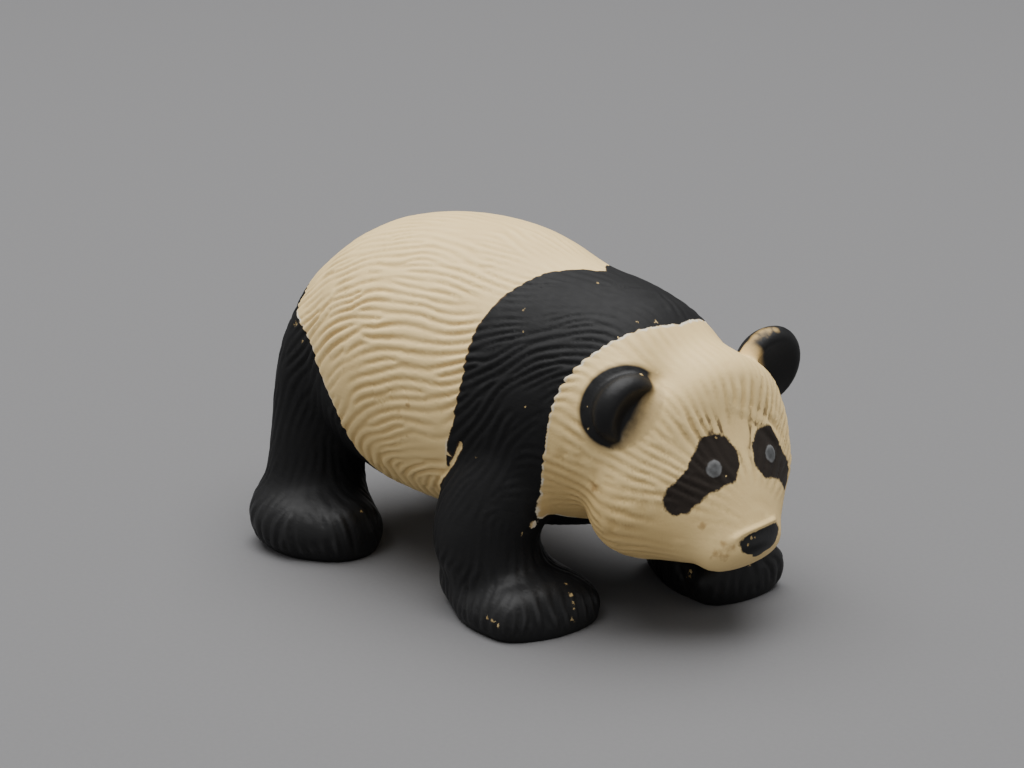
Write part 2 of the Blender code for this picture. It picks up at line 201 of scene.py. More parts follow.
BODY_VOXEL = 0.0006  # fineness of the trunk and legs before they are smoothed
BODY_ROUNDS = 20  # rounds of smoothing of the trunk and legs, of the whole and of the neck
SKIN_ROUNDS = 11
NECK_ROUNDS = 120
EYE_RADIUS = 1.7  # of the domes, in parts
LOCK_STRIDE = 0.9  # how far ahead and behind a lock looks as it grows
GROOVE_POWER = 1.9  # the higher, the broader the crests and the narrower the grooves
LOCK_SEED = 7
DEPTH_SEED = 3

VIEW_AZIMUTH = 43.4  # degrees, from looking along +Y
VIEW_ELEVATION = 19.4
VIEW_DISTANCE = 480 * PART
VIEW_TARGET = (-2.6, -2.5, 33.2)  # in parts
IMAGE_WIDTH = 1024
FOCAL_PIXELS = 2750
SENSOR = 36
ROOM_LIGHT = 0.55


def blend(low, high, value):
    """Smooth step from 0 at low to 1 at high."""
    t = np.clip((value - low) / (high - low), 0, 1)
    return t * t * (3 - 2 * t)


def turned(points, turn, at=(0, 0, 0)):
    """Points turned by roll, nod and turn in degrees, then moved."""
    matrix = np.array(Euler(np.radians(turn)).to_matrix())
    return points @ matrix.T + np.array(at)


def unturned(points, turn, at):
    """The inverse of turned."""
    matrix = np.array(Euler(np.radians(turn)).to_matrix())
    return (points - np.array(at)) @ matrix


def curve_through(rows, count):
    """A smooth curve through rows of (place, middle, half height, side, half width).

    The end rows have no size. Beyond each the next row is repeated with its halves turned over,
    so that the form closes round and not to a tip.
    """
    rows = np.array(rows, float)
    overturned = np.array([1, 1, -1, 1, -1])
    keys = np.vstack([rows[1] * overturned, rows, rows[-2] * overturned])
    place = np.linspace(0, len(rows) - 1, count)
    index = np.minimum(place.astype(int), len(rows) - 2)
    t = (place - index)[:, None]
    a, b, c, d = (keys[index + step] for step in range(4))
    return (2 * b + (c - a) * t + (2 * a - 5 * b + 4 * c - d) * t**2
            + (3 * b - a - 3 * c + d) * t**3) / 2


def loft(rows, stations=60, around=64, pear=0.0):
    """A closed form along x from rows of (place, lowest, highest, side, half width).

    Point (u, v) is the curve's station u plus an ellipse at the angle v, whose width grows or
    shrinks with height by the share pear. The first and last ring each shrink to one point.
    """
    keys = [(s, (low + high) / 2, (high - low) / 2, side, half) for s, low, high, side, half in rows]
    curve = curve_through(keys, stations)
    angle = np.arange(around) * 2 * np.pi / around
    across = np.cos(angle) * (1 + pear * np.sin(angle))
    x = np.repeat(curve[:, :1], around, axis=1)
    y = curve[:, 3:4] + curve[:, 4:5] * across
    z = curve[:, 1:2] + curve[:, 2:3] * np.sin(angle)
    grid = np.stack([x, y, z], axis=-1)
    points = np.vstack([grid[0, :1], grid[1:-1].reshape(-1, 3), grid[-1, :1]])
    k = np.arange(around)
    j = (k + 1) % around
    row = 1 + np.arange(stations - 3)[:, None] * around
    sides = np.stack([row + k, row + around + k, row + around + j, row + j], axis=-1).reshape(-1, 4)
    last = len(points) - 1
    first_cap = np.stack([0 * k, 1 + k, 1 + j], axis=-1)
    last_cap = np.stack([0 * k + last, last - around + j, last - around + k], axis=-1)
    faces = first_cap.tolist() + last_cap.tolist() + sides.tolist()
    return points, faces


def upright(rows, mirror=1):
    """A leg from rows of (height, rear, front, side, half width), on the left or mirrored."""
    points, faces = loft([(s, low, high, side * mirror, half) for s, low, high, side, half in rows])
    return points[:, [2, 1, 0]], faces


def shifted(rows, step):
    """A leg's rows moved forward."""
    return [(s, low + step, high + step, side, half) for s, low, high, side, half in rows]


def paw(rows, at, turn):
    """A paw: a loft from heel to toes, turned about the ankle and moved under its leg."""
    points, faces = loft([(s, low, high, 0, half) for s, low, high, half in rows])
    return turned(points, (0, 0, turn), (*at, 0)), faces


def ear(side):
    """An ear: a loft of ellipses from its back to its hollow front, placed on the turned head.

    A ring that lies inwards moves down and towards the head's middle, which bends the hollow.
    """
    at, (width, height) = EARS[side]
    rows = [(s, -height * share - low, height * share - low, -side * low, width * share)
            for s, share, low in EAR]
    points, faces = loft(rows)
    roll, nod, turn = EAR_TURN
    points = turned(points, (roll, nod, turn * side), (at[0], at[1] * side, at[2]))
    return turned(points, HEAD_TURN, HEAD_AT), faces


PAWS = [  # rows, place of the ankle and how far the toes turn to the left
    (HIND_PAW, (-35.5, -20), 0),
    (HIND_PAW, (-35.5 + HIND_STEP, 20), 0),
    (RIGHT_FOREPAW, (11, -17), -14),
    (LEFT_FOREPAW, (25, 15.5), -10.5),
]


def mesh_object(name, forms):
    """One object that holds several overlapping closed forms."""
    points = []
    faces = []
    for form_points, form_faces in forms:
        shift = len(points)
        points.extend(form_points * PART)
        faces.extend([tuple(corner + shift for corner in face) for face in form_faces])
    mesh = bpy.data.meshes.new(name)
    mesh.from_pydata(points, [], faces)
    obj = bpy.data.objects.new(name, mesh)
    bpy.context.scene.collection.objects.link(obj)
    return obj


def settle(obj):
    """Applies an object's modifiers."""
    graph = bpy.context.evaluated_depsgraph_get()
    mesh = bpy.data.meshes.new_from_object(obj.evaluated_get(graph))
    obj.modifiers.clear()
    old = obj.data
    obj.data = mesh
    bpy.data.meshes.remove(old)


def fuse(obj, voxel, rounds):
    """Runs the overlapping forms of an object into one skin, then softens it."""
    remesh = obj.modifiers.new("one skin", "REMESH")
    remesh.mode = "VOXEL"
    remesh.voxel_size = voxel
    smooth = obj.modifiers.new("soft hollows", "SMOOTH")
    smooth.factor = 0.5
    smooth.iterations = rounds
    settle(obj)


def read(obj):
    """Points in parts, outward directions and triangles of an object's mesh."""
    mesh = obj.data
    count = len(mesh.vertices)
    points = np.empty(count * 3)
    mesh.vertices.foreach_get("co", points)
    normals = np.empty(count * 3)
    mesh.vertex_normals.foreach_get("vector", normals)
    mesh.calc_loop_triangles()
    triangles = np.empty(len(mesh.loop_triangles) * 3, int)
    mesh.loop_triangles.foreach_get("vertices", triangles)
    return points.reshape(-1, 3) / PART, normals.reshape(-1, 3), triangles.reshape(-1, 3)


def write(obj, points):
    """Puts points in parts back into an object's mesh."""
    obj.data.vertices.foreach_set("co", (points * PART).ravel())
    obj.data.update()


def lie_of_fur(points, normals):
    """The way the fur is combed, along the skin at each point.

    On the trunk it runs backwards and falls towards the legs, on the legs it runs down, on a paw
    it spreads from the ankle, and on the head it spreads from the nose.
    """
    x, y, z = points.T
    height = blend(10, 56, z)
    rear = blend(4, 40, -x)
    band = blend(0, 8, x) * blend(30, 22, x)
    fall = (1 - height) * (0.3 + 3.2 * rear + 2.5 * band) + 0.25 * band + 0.35 * rear
    spread = y / 25 * height * (0.2 + 0.5 * band)
    comb = np.stack([-np.ones_like(x), spread, -fall], axis=-1)

    on_leg = blend(24, 15, z)[:, None]
    comb = comb * (1 - on_leg) + np.array([-0.15, 0, -1.5]) * on_leg
    for _, (at_x, at_y), _ in PAWS:
        away = np.stack([x - at_x, y - at_y, z - 15], axis=-1)
        near = blend(17, 12, np.hypot(away[:, 0], away[:, 1])) * blend(15, 10, z)
        comb = comb * (1 - near[:, None]) + away / 8 * near[:, None]

    ahead, across, up = unturned(points, HEAD_TURN, HEAD_AT).T
    back = HEAD[-1][0] + 1 - ahead
    rise = (up - 2) * 1.2 * back / 23
    face = np.stack([-back, across, rise], axis=-1)
    on_head = (blend(-13, -9, ahead) * blend(-19, -16, up))[:, None]
    comb = comb * (1 - on_head) + turned(face, HEAD_TURN) / 15 * on_head

    comb -= normals * np.sum(comb * normals, axis=1)[:, None]
    comb /= np.maximum(np.linalg.norm(comb, axis=1), 1e-9)[:, None]
    wave = np.sin(x * 0.43 + z * 0.37 + 1.3 * np.sin(y * 0.21))
    wave = wave * np.sin(z * 0.29 - x * 0.17 + y * 0.33)
    swerve = 0.35 * wave * (1 - 0.5 * on_head[:, 0])
    side = np.cross(normals, comb)
    return comb * np.cos(swerve)[:, None] + side * np.sin(swerve)[:, None]


def nearest(tree, places):
    """The point of the skin that is nearest to each place."""
    return np.array([tree.find(place)[1] for place in places.tolist()])


def softened(triangles, value, rounds=1):
    """Values on the skin, each moved to the mean of its neighbours."""
    first = triangles.ravel()
    second = np.roll(triangles, -1, axis=1).ravel()
    total = np.bincount(first, minlength=len(value))
    for _ in range(rounds):
        value = np.bincount(first, value[second], len(value)) / total
    return value


def tree_of(points):
    """Points sorted so that the nearest one to a place is found fast."""
    tree = KDTree(len(points))
    for index, point in enumerate(points.tolist()):
        tree.insert(point, index)
    tree.balance()
    return tree


def locks(points, triangles, comb, normals, pitch, rounds=15):
    """Locks of fur: crests near 1 and grooves near -1, pitch parts apart, along the comb.

    They grow from seeded noise. In each round a point takes after the skin ahead of it and behind
    it, and turns against the skin nearly half a pitch to either side. That leaves long crests
    that fork and end.
    """
    tree = tree_of(points)
    x, y, z = points.T
    wave = np.sin(x * 0.31 + 2 * np.sin(z * 0.23)) * np.sin(z * 0.41 + y * 0.27 + 1)
    pitch = pitch * (1 + 0.23 * wave)
    half_pitch = np.cross(normals, comb) * pitch[:, None] * 0.42
    stride = comb * LOCK_STRIDE
    along = [nearest(tree, points + stride * step) for step in (-2, -1, 1, 2)]
    beside = [nearest(tree, points + half_pitch * step) for step in (-1, 1)]
    value = np.random.default_rng(LOCK_SEED).normal(0, 1, len(points))
    for _ in range(rounds):
        same = sum(value[index] for index in along) / 4
        other = sum(value[index] for index in beside) / 2
        value = softened(triangles, np.tanh(2.4 * (0.4 * value + 0.6 * same - 0.8 * other)))
    return value


def unevenness(triangles, count):
    """Soft seeded patches, round 1, by which the carving is deeper or shallower."""
    value = softened(triangles, np.random.default_rng(DEPTH_SEED).normal(0, 1, count), 40)
    return np.clip(0.95 + 0.42 * value / value.std(), 0.1, 1.5)


def ear_reach(points, side):
    """How far each point is from an ear's middle, where 1 is about the ear's edge."""
    return np.linalg.norm(ear_place(points, side) / (EAR_REACH, *EARS[side][1]), axis=1)


def neck_share(points):
    """Where the head meets the neck: 1 in the hollow between them, 0 away from it and at the ears."""
    ahead, _, up = unturned(points, HEAD_TURN, HEAD_AT).T
    share = blend(-16, -11, ahead) * blend(5, -1, ahead) * blend(-12, -3, up)
    for side in (-1, 1):
        share = share * blend(1.15, 1.6, ear_reach(points, side))
    return share


def ease_neck(obj, rounds):
    """Fills the hollow of the neck softly: its points move to the mean of their neighbours."""
    points, _, triangles = read(obj)
    share = neck_share(points)[:, None]
    first = triangles.ravel()
    second = np.roll(triangles, -1, axis=1).ravel()
    total = np.bincount(first)
    for _ in range(rounds):
        mean = [np.bincount(first, values[second]) / total for values in points.T]
        points += share * (np.stack(mean, axis=-1) - points)
    write(obj, points)


def fur_depth(points, normals):
    """How deep the fur is carved at each point, as a share of its full depth.

    It is shallow on the snout and wherever the figure faces up, and paint fills it on the legs.
    """
    ahead, _, up = unturned(points, HEAD_TURN, HEAD_AT).T
    on_head = blend(-13, -9, ahead) * blend(-19, -16, up)
    depth = 1 - on_head * (0.1 + 0.7 * blend(9, 17, ahead) + 0.2 * blend(17, 21, ahead))
    facing_up = normals[:, 2] + 0.25 * on_head
    depth *= 1 - blend(0.4, 0.9, facing_up) * (0.5 + 0.2 * on_head)
    painted = blend(-0.3, 0.3, body_paint(points)[0])
    low = 0.45 * blend(36, 24, points[:, 2]) - 0.3 * blend(14, 10, points[:, 2])
    depth *= 1 - painted * (0.1 + low)
    for side in (-1, 1):
        depth *= blend(1, 1.3, ear_reach(points, side))
    return depth * blend(0.5, 2.5, points[:, 2])


def eye_gap(points, side):
    """Distance of each point from the middle of an eye, in parts."""
    ahead, out, up = EYE_AT
    eye = np.array([ahead, FACE_SHIFT + out * side, up])
    return np.linalg.norm(unturned(points, HEAD_TURN, HEAD_AT) - eye, axis=1)


def face_relief(points, sizes):
    """Height of the eyes and of the nose with its rim at each point, in parts."""
    ahead, across, up = unturned(points, HEAD_TURN, HEAD_AT).T
    eyes = 0
    for side in (-1, 1):
        eyes = eyes + np.sqrt(np.clip(1 - (eye_gap(points, side) / EYE_RADIUS) ** 2, 0, 1))
    reach = np.hypot((across - NOSE_AT[1]) / NOSE_HALF[0], (up - NOSE_AT[2]) / NOSE_HALF[1])
    above = blend(-1, 1, up - NOSE_AT[2]) * blend(16, 19, ahead)
    rim = np.exp(-((reach - 1.16) / 0.14) ** 2) * above * blend(6.5, 4.5, across)
    return (eyes * sizes.eye_height + rim * sizes.nose_rim) / PART


def flatten(obj):
    """Presses what is under z = 0 flat, which makes the soles."""
    points, _, _ = read(obj)
    points[:, 2] = np.maximum(points[:, 2], 0)
    write(obj, points)


def trunk_and_legs():
    """The trunk on its four legs and paws, with soft hollows where they meet."""
    forms = [loft([(s, low, high, 0, half) for s, low, high, half in TRUNK])]
    forms.append(upright(HIND_LEG, -1))
    forms.append(upright(shifted(HIND_LEG, HIND_STEP)))
    forms.append(upright(RIGHT_FORELEG, -1))
    forms.append(upright(LEFT_FORELEG))
    for rows, at, turn in PAWS:
        forms.append(paw(rows, at, turn))
    body = mesh_object("trunk_and_legs", forms)
    fuse(body, BODY_VOXEL, BODY_ROUNDS)
    return body


def figurine(fineness):
    """The whole animal as one fine skin, before it is carved."""
    body = trunk_and_legs()
    points, _, triangles = read(body)
    bpy.data.objects.remove(body)
    skull, skull_faces = loft([(s, low, high, 0, half) for s, low, high, half in HEAD], pear=CHEEKS)
    forms = [(points, triangles), (turned(skull, HEAD_TURN, HEAD_AT), skull_faces)]
    forms += [ear(-1), ear(1)]
    tail, tail_faces = loft(TAIL)
    forms.append((turned(tail, (0, 0, 0), TAIL_AT), tail_faces))
    obj = mesh_object("panda", forms)
    fuse(obj, fineness, SKIN_ROUNDS)
    ease_neck(obj, NECK_ROUNDS)
    return obj


def on_skin(tree, spots):
    """Spots of (place, radius) with each place brought to the nearest point of the skin."""
    return [(tree.find(at)[0], radius) for at, radius in spots]


def thin(obj, triangles):
    """Brings the skin down to fewer triangles, which stay narrow along the locks."""
    count = len(obj.data.loop_triangles)
    if count > triangles:
        decimate = obj.modifiers.new("fewer triangles", "DECIMATE")
        decimate.ratio = triangles / count
        decimate.use_collapse_triangulate = True
        settle(obj)


def stand(obj):
    """Moves the figure so that the middle of its footprint is the origin, and gives that middle."""
    points, _, _ = read(obj)
    middle = (points.min(axis=0) + points.max(axis=0)) / 2
    middle[2] = 0
    write(obj, points - middle)
    return middle


def between(degrees, rows):
    """A value read from rows of (degrees, value) by straight runs."""
    angle, value = np.array(rows, float).T
    return np.interp(degrees, angle, value)


def along_run(points, start, end):
    """How far along a straight run each point is, from 0 to 1, and its distance from the run."""
    start, end = np.array(start), np.array(end)
    way = end - start
    share = np.clip((points - start) @ way / (way @ way), 0, 1)
    return share, np.linalg.norm(points - start - share[:, None] * way, axis=1)


def head_gap(points):
    """How far outside the head's form each point is, as a share of the head's size there."""
    ahead, across, up = unturned(points, HEAD_TURN, HEAD_AT).T
    place, low, high, half = np.array(HEAD, float)[1:-1].T
    rise = up - np.interp(ahead, place, (low + high) / 2)
    rise = rise / np.interp(ahead, place, (high - low) / 2)
    width = np.interp(ahead, place, half) * (1 + CHEEKS * np.clip(rise, -1, 1))
    gap = np.hypot(across / width, rise) - 1
    return np.where((ahead > place[0]) & (ahead < place[-1] + 3), gap, 1)


def body_paint(points, fur=0):
    """How far inside the black of band and legs each point is, in parts, and how pale its edge."""
    x, y, z = points.T
    round_trunk = np.degrees(np.arctan2(-y, z - BAND_AXIS)) + SPINE_LEAN
    round_trunk = abs((round_trunk + 180) % 360 - 180)
    left = blend(4, 10, y)
    ahead = x - LEFT_STEP * left * blend(30, 12, z)
    rear = ahead - between(round_trunk, BAND_REAR)
    front = between(round_trunk, BAND_FRONT) - ahead - TOOTH * fur
    band = np.minimum(rear, front)
    off_head = (head_gap(points) - 0.03) * 15
    paws = np.minimum(np.minimum(PAW_TOP - z, x + 3), off_head)
    left_leg = np.minimum(rear, PAW_TOP + 41 - z - x)
    left_leg = np.minimum(left_leg, np.minimum(off_head, np.minimum(y - 4, 31 - x)))
    behind = x - HIND_STEP * left * blend(46, 20, z)
    hind = np.minimum(between(behind, HIND_TOP) - z, HIND_FRONT - behind)
    hind = -ROUNDING * np.logaddexp(-hind / ROUNDING, (RUMP - abs(y)) / ROUNDING)
    run, gap = along_run(points, *TONGUE)
    tongue = TONGUE_HALF * (1 - 0.75 * run**2) - gap
    off_ears = np.minimum(ear_reach(points, -1), ear_reach(points, 1)) * 6 - 7.5
    hind_paws = np.minimum(np.minimum(10 - z, -17 - behind), abs(y) - RUMP - 1)
    black = np.maximum(np.maximum(np.minimum(band, off_ears), paws), np.maximum(hind, tongue))
    black = np.maximum(black, np.maximum(hind_paws, left_leg))
    return black, blend(2, 4, abs(rear)) * blend(12, 14, z)


def face_paint(points):
    """Insides of the eye patches, the grey dots and the nose, in parts, and the brow's share."""
    ahead, across, up = unturned(points, HEAD_TURN, HEAD_AT).T
    out = across - FACE_SHIFT
    run, gap = along_run(np.stack([ahead, abs(out), up + PATCH_LIFT * np.sign(out)], axis=-1), *PATCH)
    half = PATCH_HALF[0] + (PATCH_HALF[1] - PATCH_HALF[0]) * run
    patch = half - PATCH_WAIST * np.sin(np.pi * run) - gap
    brow = blend(-BROW, -0.3, patch) * blend(4, 8, up - abs(out) * 0.35)
    dots = EYE_DOT - np.minimum(eye_gap(points, -1), eye_gap(points, 1))
    nose = np.hypot((across - NOSE_AT[1]) / NOSE_HALF[0], (up - NOSE_AT[2]) / NOSE_HALF[1])
    tip = NOSE_TIP[2] - np.hypot(across - NOSE_TIP[0], up - NOSE_TIP[1])
    nose = np.where(ahead > 16, np.maximum((1 - nose) * NOSE_HALF[1], tip), -3)
    return patch, dots, nose, brow


def shown_pitch(points):
    """Metres from one lock to the next: finer on the band, head and legs, broad on the paws."""
    x, _, z = points.T
    ahead, _, up = unturned(points, HEAD_TURN, HEAD_AT).T
    on_head = blend(-13, -9, ahead) * blend(-19, -16, up)
    share = 1 - 0.22 * blend(2, 8, x) * blend(28, 22, x)
    share = share * (1 - 0.12 * on_head) * (1 - 0.15 * blend(26, 16, z))
    return share * (1 + 0.5 * blend(13, 8, z))


def ear_place(points, side):
    """Where points are in an ear's own frame: ahead of its middle, out and up."""
    roll, nod, turn = EAR_TURN
    ahead, out, up = EARS[side][0]
    on_head = unturned(points, HEAD_TURN, HEAD_AT)
    return unturned(on_head, (roll, nod, turn * side), (ahead, out * side, up)) * np.array([1, side, 1])


def ear_paint(points):
    """How far inside the black of the ears each point is, over how softly it ends there.

    The brush left a sharp edge behind each ear. In front the black fades over the cream, on a line
    across the hollow.
    """
    inside = -np.full(len(points), 3.0)
    for side in (-1, 1):
        ahead, out, up = ear_place(points, side).T
        gap = (1.2 - ear_reach(points, side)) * 7
        fade = (out * 0.8 + up * 0.55 + EAR_FADE[side]) / 2.2
        front = blend(-1.5, 0, ahead)
        inside = np.maximum(inside, gap * (1 - front) + np.minimum(gap, fade) * front)
    return inside


def gloss(points):
    """1 where the paint shines most: paws, ears and nose."""
    ahead, _, up = unturned(points, HEAD_TURN, HEAD_AT).T
    nose = blend(18, 19, ahead) * blend(-8, -6, up)
    ears = blend(1.3, 1.0, np.minimum(ear_reach(points, -1), ear_reach(points, 1)))
    return np.maximum(np.maximum(blend(13, 7, points[:, 2]), nose), ears)


def lower_face_shade(points):
    """Painted shade: 1 on the cheeks and the chin, where the cream is darkened to stand in for shade on
    the lower face, and 0 on the rest.
    """
    ahead, _, up = unturned(points, HEAD_TURN, HEAD_AT).T
    return blend(-13, -9, ahead) * blend(18, 12, ahead) * blend(3, -8, up)


# Worn places where the black has come off, and on the nose a spot of painted highlight: place beside the
# skin and radius
CHIPS_AND_NOSE_GLINT = [
    ((-23, -19.5, 8.5), 0.5),
    ((18, -30, 4), 0.4),
    ((19.5, -30, 3.5), 0.45),
    ((20.5, -30, 3), 0.35),
    ((26, -17.5, 6.5), 0.4),
    ((26.5, -18, 5.5), 0.45),
    ((27, -18, 4), 0.4),
    ((27, -18.5, 2.5), 0.4),
    ((24, -17, 8), 0.35),
    ((33, 4.5, 6), 0.45),
    ((33, 4.5, 5), 0.5),
    ((40, 12.5, 6.5), 0.55),
    ((17.5, -21, 16), 0.35),
    ((17.5, -2.5, 56), 0.45),
    ((28.5, -5, 52.5), 0.4),
    ((30.5, -2, 52), 0.35),
    ((11, -13.5, 52), 0.3),
    ((28.5, -9.5, 50.5), 0.35),
    ((13, -16, 49.5), 0.25),
    ((18, -21, 38.5), 0.25),
    ((9, -23, 28), 0.3),
    ((-38, -20.5, 40.5), 0.6),
    ((-35, -21.5, 38), 0.4),
    ((34, -10, 45), 0.45),
    ((29, -18, 40.5), 0.25),
    ((30, -18.5, 37), 0.25),
    # On the nose: cream chips and a painted highlight on the black
    ((50, 0, 18), 0.5),
    ((50, -1, 17.5), 0.3),
    ((43.5, -2, 34.5), 0.25),
    ((46, -2, 29), 0.2),
]
# A streak on the left ear where the black is rubbed thin
RUBS = [
    ((35.5, 17.5, 45.5), 1.5),
    ((36, 19, 46), 1.7),
    ((36.5, 20, 46.5), 1.5),
    ((37, 21, 46.5), 1),
]
# Brown marks on the cream
STAINS = [
    ((48, -5, 17.5), 2.2),
    ((45.5, -7.5, 21.5), 1),
    ((30.5, -17, 27), 1.6),
    ((-7.5, -24.5, 32.5), 0.9),
    ((-5.5, -24.5, 34.5), 0.6),
]


class PandaSizes(bpy.types.PropertyGroup):
    """Sizes a maker would change."""

    fur_pitch: FloatProperty(
        name="Fur pitch", description="From one lock of fur to the next on the flank",
        default=0.00120, min=0.0008, max=0.003, unit="LENGTH", precision=5)
    fur_depth: FloatProperty(
        name="Fur depth", description="From a lock's crest to the bottom of its groove",
        default=0.00026, min=0.0, max=0.0008, unit="LENGTH", precision=5)
    eye_height: FloatProperty(
        name="Eye height", description="How far each eye stands out",
        default=0.00022, min=0.0, max=0.001, unit="LENGTH", precision=5)
    nose_rim: FloatProperty(
        name="Nose rim", description="How far the rim over the nose stands out",
        default=0.0004, min=0.0, max=0.001, unit="LENGTH", precision=5)
    fineness: FloatProperty(
        name="Fineness", description="Spacing of the skin while it is carved",
        default=0.00026, min=0.0002, max=0.001, unit="LENGTH", precision=5)
    triangles: IntProperty(
        name="Triangles", description="Triangles of the finished skin",
        default=190000, min=20000, max=195000)


class PandaColours(bpy.types.PropertyGroup):
    """Paints and plastics, as linear colours."""

    cream: FloatVectorProperty(
        name="Cream", description="Plastic on the crests of the fur", subtype="COLOR", size=4,
        min=0, max=1, default=(0.89, 0.665, 0.32, 1))
    # Deep cream: painted shade and dirt wash in the grooves of the fur and painted shade on the lower
    # face; also darker patches of plastic and bared places
    cream_deep: FloatVectorProperty(
        name="Deep cream", description="Plastic in the grooves of the fur", subtype="COLOR", size=4,
        min=0, max=1, default=(0.56, 0.38, 0.15, 1))
    black: FloatVectorProperty(
        name="Black", description="Brushed paint", subtype="COLOR", size=4,
        min=0, max=1, default=(0.0098, 0.0098, 0.0102, 1))
    # Lighter grey on the crests of the black: rubbed paint and painted sheen
    black_wear_and_sheen: FloatVectorProperty(
        name="Worn black", description="Paint rubbed on the crests", subtype="COLOR", size=4,
        min=0, max=1, default=(0.024, 0.024, 0.025, 1))
    patch: FloatVectorProperty(
        name="Eye patch", description="Brown black round the eyes", subtype="COLOR", size=4,
        min=0, max=1, default=(0.025, 0.019, 0.015, 1))
    edge: FloatVectorProperty(
        name="Thin paint", description="Where the black runs out thin over the cream",
        subtype="COLOR", size=4, min=0, max=1, default=(0.075, 0.042, 0.018, 1))
    dot: FloatVectorProperty(
        name="Eye dot", description="Grey dot of each eye", subtype="COLOR", size=4,
        min=0, max=1, default=(0.105, 0.108, 0.11, 1))
    dot_rim: FloatVectorProperty(
        name="Eye dot rim", description="Thicker paint round the rim of each dot",
        subtype="COLOR", size=4, min=0, max=1, default=(0.17, 0.172, 0.174, 1))
    bare: FloatVectorProperty(
        name="Bare edge", description="Paler plastic beside the black where the paint broke off",
        subtype="COLOR", size=4, min=0, max=1, default=(0.86, 0.80, 0.66, 1))
    stain: FloatVectorProperty(
        name="Stain", description="Brown marks beside the nose, on the cheek and on the flank",
        subtype="COLOR", size=4, min=0, max=1, default=(0.32, 0.17, 0.055, 1))
    ground: FloatVectorProperty(
        name="Ground", description="Plain paper under the figure", subtype="COLOR", size=4,
        min=0, max=1, default=(0.139, 0.138, 0.141, 1))


def keep(obj, name, values):
    """Stores one number for each point of a mesh."""
    layer = obj.data.attributes.new(name, "FLOAT", "POINT")
    layer.data.foreach_set("value", np.ascontiguousarray(values, dtype=np.float32))


class Nodes:
    """Short ways to place and join the nodes of one material."""

    def __init__(self, material):
        material.use_nodes = True
        self.tree = material.node_tree
        self.shader = self.tree.nodes["Principled BSDF"]
        self.place = self.new("ShaderNodeTexCoord").outputs["Object"]

    def new(self, kind, **settings):
        """A node of one kind with some of its settings."""
        node = self.tree.nodes.new(kind)
        for name, value in settings.items():
            setattr(node, name, value)
        return node

    def feed(self, socket, value):
        """Links a socket to another one, or sets its number or colour."""
        if isinstance(value, bpy.types.NodeSocket):
            self.tree.links.new(value, socket)
        else:
            socket.default_value = value

    def math(self, operation, *values):
        """The result of one sum on numbers or sockets."""
        node = self.new("ShaderNodeMath", operation=operation)
        for socket, value in zip(node.inputs, values):
            self.feed(socket, value)
        return node.outputs[0]

    def attribute(self, name):
        """A number stored for each point of the skin."""
        return self.new("ShaderNodeAttribute", attribute_name=name).outputs["Fac"]

    def noise(self, size, detail=3.0, rough=0.5, stretch=1.0):
        """Cloudy noise with features of the given size in metres, stretched along the figure."""
        along = self.new("ShaderNodeVectorMath", operation="MULTIPLY")
        self.feed(along.inputs[0], self.place)
        self.feed(along.inputs[1], (1 / stretch, 1, 1))
        node = self.new("ShaderNodeTexNoise")
        self.feed(node.inputs["Vector"], along.outputs["Vector"])
        self.feed(node.inputs["Scale"], 1 / size)
        self.feed(node.inputs["Detail"], detail)
        self.feed(node.inputs["Roughness"], rough)
        return node.outputs["Fac"]

    def step(self, value, low, high, start=0.0, end=1.0):
        """Smooth step from start at low to end at high."""
        node = self.new("ShaderNodeMapRange", interpolation_type="SMOOTHSTEP")
        for name, number in zip(("Value", "From Min", "From Max", "To Min", "To Max"),
                                (value, low, high, start, end)):
            self.feed(node.inputs[name], number)
        return node.outputs["Result"]

    def mix(self, share, first, second):
        """A colour between the first and the second by a share."""
        node = self.new("ShaderNodeMix", data_type="RGBA")
        for socket in node.inputs:
            if socket.name == "Factor" and socket.type == "VALUE":
                self.feed(socket, share)
            if socket.type == "RGBA":
                self.feed(socket, first if socket.name == "A" else second)
        return [socket for socket in node.outputs if socket.type == "RGBA"][0]

    def near(self, spots, middle, ragged, soft):
        """1 inside ragged balls round places on the figure, fading over a share of their radius."""
        inside = 0.0
        for at, radius in spots:
            node = self.new("ShaderNodeVectorMath", operation="DISTANCE")
            self.feed(node.inputs[0], self.place)
            self.feed(node.inputs[1], tuple((a - m) * PART for a, m in zip(at, middle)))
            reach = self.math("ADD", node.outputs["Value"], self.math("MULTIPLY", ragged, radius * PART))
            share = self.step(reach, radius * PART, radius * PART * (1 - soft))
            inside = self.math("MAXIMUM", share, inside)
        return inside


